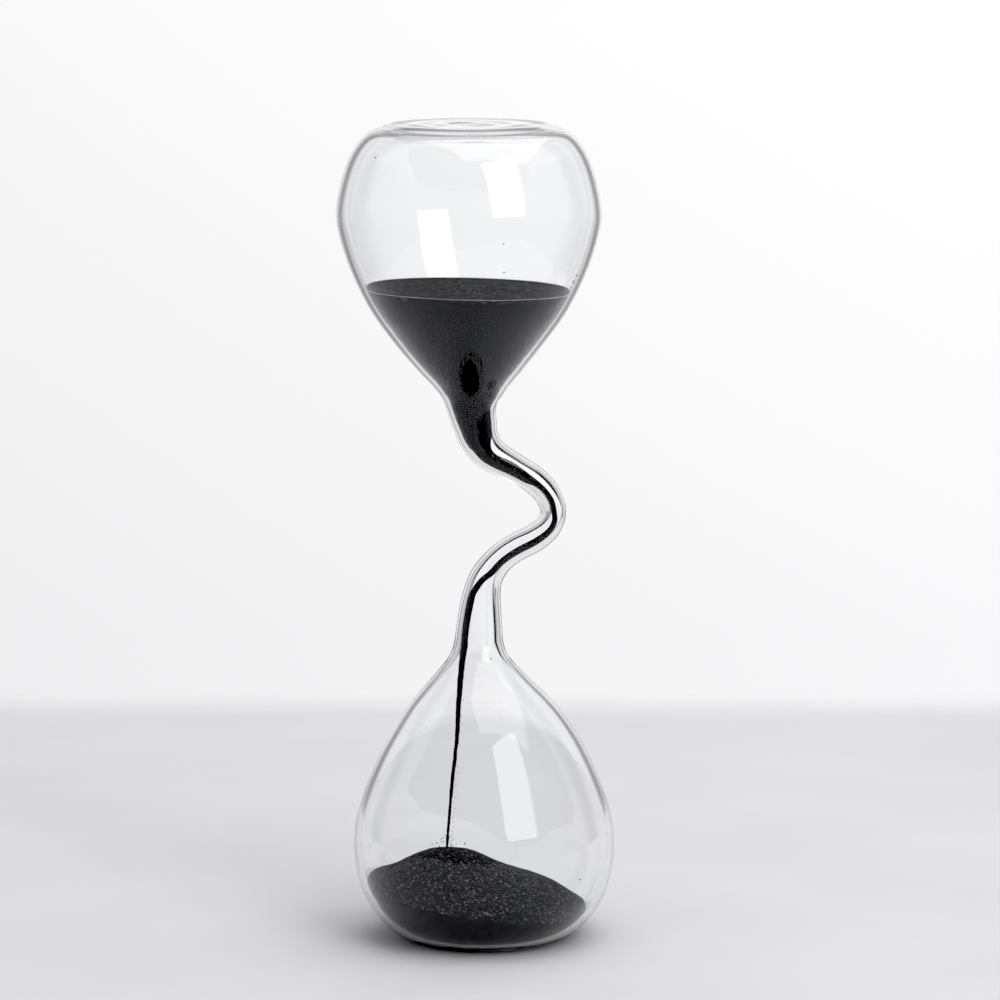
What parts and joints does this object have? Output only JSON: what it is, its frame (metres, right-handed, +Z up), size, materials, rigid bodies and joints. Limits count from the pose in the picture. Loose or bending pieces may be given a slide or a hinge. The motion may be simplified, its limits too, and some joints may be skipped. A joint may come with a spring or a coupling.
{
  "type": "hourglass",
  "caption": "Free-standing blown-glass hourglass with teardrop bulbs, an S-bent neck and black sand caught while it runs.",
  "frame": {"origin": "centre of the flat base, on the surface the hourglass stands on", "axes": "+Z up the hourglass to its flat top, +X the way the neck bends out, +Y away from the front"},
  "size_m": [0.0625, 0.0594, 0.185],
  "materials": {
    "clear_glass": "clear borosilicate glass, fire polished",
    "black_sand": "fine loose black sand, matt with a few glints"
  },
  "bodies": {
    "glass": {"upper_bulb": "clear_glass", "fill_seal": "clear_glass", "bent_neck": "clear_glass", "lower_bulb": "clear_glass", "upper_sand_bed": "black_sand", "neck_sand": "black_sand", "sand_stream": "black_sand"},
    "core": {"upper_sand_core": "black_sand"},
    "heap": {"sand_heap": "black_sand"}
  },
  "joints": [
    {"name": "core_sink", "type": "slide", "parent": "glass", "child": "core", "axis": [0, 0, -1], "range_m": [0, 0.009], "deforming": ["upper_sand_core"]},
    {"name": "heap_rise", "type": "slide", "parent": "glass", "child": "heap", "axis": [0, 0, 1], "range_m": [0, 0.0024], "deforming": ["sand_heap"]}
  ],
  "couplings": [
    {"joint": "heap_rise", "follows": "core_sink", "ratio": 0.265}
  ]
}
